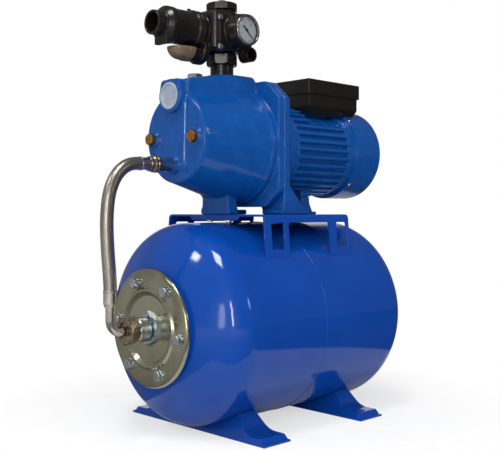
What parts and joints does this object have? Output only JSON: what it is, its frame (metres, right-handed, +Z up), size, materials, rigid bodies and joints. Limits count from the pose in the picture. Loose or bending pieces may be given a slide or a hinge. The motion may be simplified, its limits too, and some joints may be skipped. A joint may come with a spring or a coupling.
{
  "type": "booster pump set",
  "caption": "Self-priming jet pump and motor on a bracket over a horizontal pressure tank, with braided hose, valve manifold and pressure gauge.",
  "frame": {"origin": "on the floor, under the middle of the set's length and width without the hose and its fittings", "axes": "+X from the tank's flange toward the motor's fan cover, +Y to the side away from the pressure gauge, +Z up"},
  "size_m": [0.5137, 0.2814, 0.605],
  "materials": {
    "tank_paint": "glossy powder coat",
    "casting_paint": "glossy enamel on cast iron",
    "black_plastic": "satin moulded polypropylene",
    "smoked_plastic": "smoked translucent plastic",
    "zinc_plate": "yellow passivated zinc plate, bright",
    "bright_zinc": "clear zinc plate",
    "chrome": "nickel chrome plate",
    "nickel_brass": "worn nickel on brass",
    "steel_braid": "braided stainless wire",
    "brass": "bare brass",
    "grey_plastic": "light grey moulded plastic",
    "rubber": "EPDM rubber",
    "noryl": "dark moulded plastic",
    "bronze": "cast bronze",
    "seal_carbon": "carbon and ceramic seal in a steel cup",
    "ground_steel": "ground steel",
    "core_steel": "stacked electrical steel",
    "copper": "enamelled copper wire",
    "white_plastic": "white moulded plastic",
    "silver_steel": "pressed steel case with a printed dial",
    "black_paint": "black enamel",
    "lens": "clear window"
  },
  "bodies": {
    "set": {"tank_front_shell": "tank_paint", "tank_rear_shell": "tank_paint", "tank_weld_bead": "tank_paint", "tank_mouth_ring": "tank_paint", "tank_bladder": "rubber", "tank_flange": "zinc_plate", "flange_bolts": "bright_zinc", "air_valve": "brass", "air_valve_cap": "black_plastic", "front_foot": "tank_paint", "rear_foot": "tank_paint", "pump_bracket": "tank_paint", "tank_nipple": "bright_zinc", "elbow_nut": "nickel_brass", "hose_elbow": "chrome", "lower_ferrule": "chrome", "braided_hose": "steel_braid", "upper_ferrule": "chrome", "hose_nut": "nickel_brass", "pump_nipple": "chrome", "pump_body": "casting_paint", "suction_cap": "grey_plastic", "brass_plugs": "brass", "priming_plug": "bright_zinc", "ejector": "noryl", "diffuser": "noryl", "shaft_seal": "seal_carbon", "motor_bracket": "casting_paint", "flange_screws": "bright_zinc", "pump_foot_bolts": "bright_zinc", "pump_foot_nuts": "bright_zinc", "bearing_outer_races": "ground_steel", "bearing_balls": "ground_steel", "stator_core": "core_steel", "stator_windings": "copper", "motor_housing": "casting_paint", "rear_shield": "casting_paint", "fan_cover": "casting_paint", "fan_cover_screws": "bright_zinc", "motor_support": "casting_paint", "terminal_box": "black_plastic", "terminal_lid": "black_plastic", "lid_screws": "bright_zinc", "run_capacitor": "white_plastic", "discharge_nipple": "black_plastic", "swivel_nut": "black_plastic", "manifold_body": "black_plastic", "top_plug": "black_plastic", "outlet_union": "black_plastic", "gauge_case": "silver_steel", "gauge_lens": "lens", "switch_dome": "smoked_plastic", "manifold_screws": "bright_zinc"},
    "rotor": {"motor_shaft": "ground_steel", "bearing_inner_races": "ground_steel", "rotor_core": "core_steel", "impeller": "bronze", "cooling_fan": "white_plastic"},
    "needle": {"gauge_needle": "black_paint"},
    "valve": {"check_valve": "white_plastic"}
  },
  "joints": [
    {"name": "rotor_spin", "type": "hinge", "parent": "set", "child": "rotor", "pos_m": [0, 0, 0.396], "axis": [1, 0, 0], "continuous": true},
    {"name": "needle_turn", "type": "hinge", "parent": "set", "child": "needle", "pos_m": [-0.071, -0.052, 0.5555], "axis": [0, 1, 0], "range_deg": [0, 270], "stiffness_Nm_per_rad": 0.0002},
    {"name": "valve_lift", "type": "slide", "parent": "set", "child": "valve", "axis": [-1, 0, 0], "range_m": [0, 0.006], "stiffness_N_per_m": 60, "springref_m": -0.003}
  ]
}
